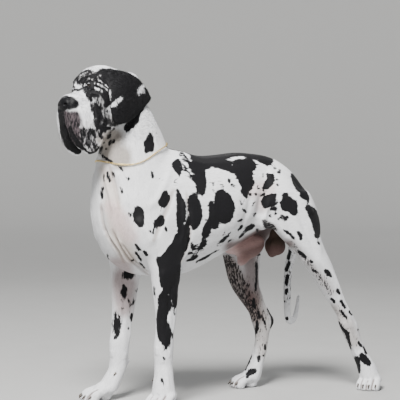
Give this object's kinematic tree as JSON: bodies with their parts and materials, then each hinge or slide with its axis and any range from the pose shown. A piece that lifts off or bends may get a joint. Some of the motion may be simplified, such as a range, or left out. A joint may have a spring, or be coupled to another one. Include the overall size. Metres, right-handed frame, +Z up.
{
  "type": "great dane",
  "caption": "Standing short-haired giant dog with raised head, hanging flews and natural ears, as a still life-size model.",
  "frame": {"origin": "middle of the model's box in plan, at floor level", "axes": "+Z up, the dog faces -X, its left side is towards -Y"},
  "size_m": [1.2134, 0.3684, 1.1516],
  "materials": {
    "coat": "short smooth hair, white with black patches",
    "dark_coat": "short smooth black hair",
    "nose_leather": "moist pebbled skin",
    "eye": "polished glass eye with a brown iris",
    "claw": "smooth horn",
    "pale_skin": "thinly haired pink skin",
    "dark_skin": "bare dark skin",
    "chain": "polished gold-coloured metal"
  },
  "bodies": {
    "root": {"chain_collar": "chain", "claw_fore_left_1": "claw", "claw_fore_left_2": "claw", "claw_fore_left_3": "claw", "claw_fore_left_4": "claw", "claw_fore_right_1": "claw", "claw_fore_right_2": "claw", "claw_fore_right_3": "claw", "claw_fore_right_4": "claw", "claw_hind_left_1": "claw", "claw_hind_left_2": "claw", "claw_hind_left_3": "claw", "claw_hind_left_4": "claw", "claw_hind_right_1": "claw", "claw_hind_right_2": "claw", "claw_hind_right_3": "claw", "claw_hind_right_4": "claw", "dewclaw_left": "claw", "dewclaw_right": "claw", "ear_left": "dark_coat", "ear_right": "dark_coat", "eye_left": "eye", "eye_right": "eye", "foreleg_left": "coat", "foreleg_right": "coat", "forepaw_left": "coat", "forepaw_right": "coat", "head": "coat", "hindpaw_left": "coat", "hindpaw_right": "coat", "hock_left": "coat", "hock_right": "coat", "lower_jaw": "dark_coat", "neck": "coat", "nose": "nose_leather", "scrotum": "dark_skin", "sheath": "pale_skin", "tail_base": "coat", "tail_tip": "coat", "thigh_left": "coat", "thigh_right": "coat", "torso": "coat"}
  },
  "joints": []
}
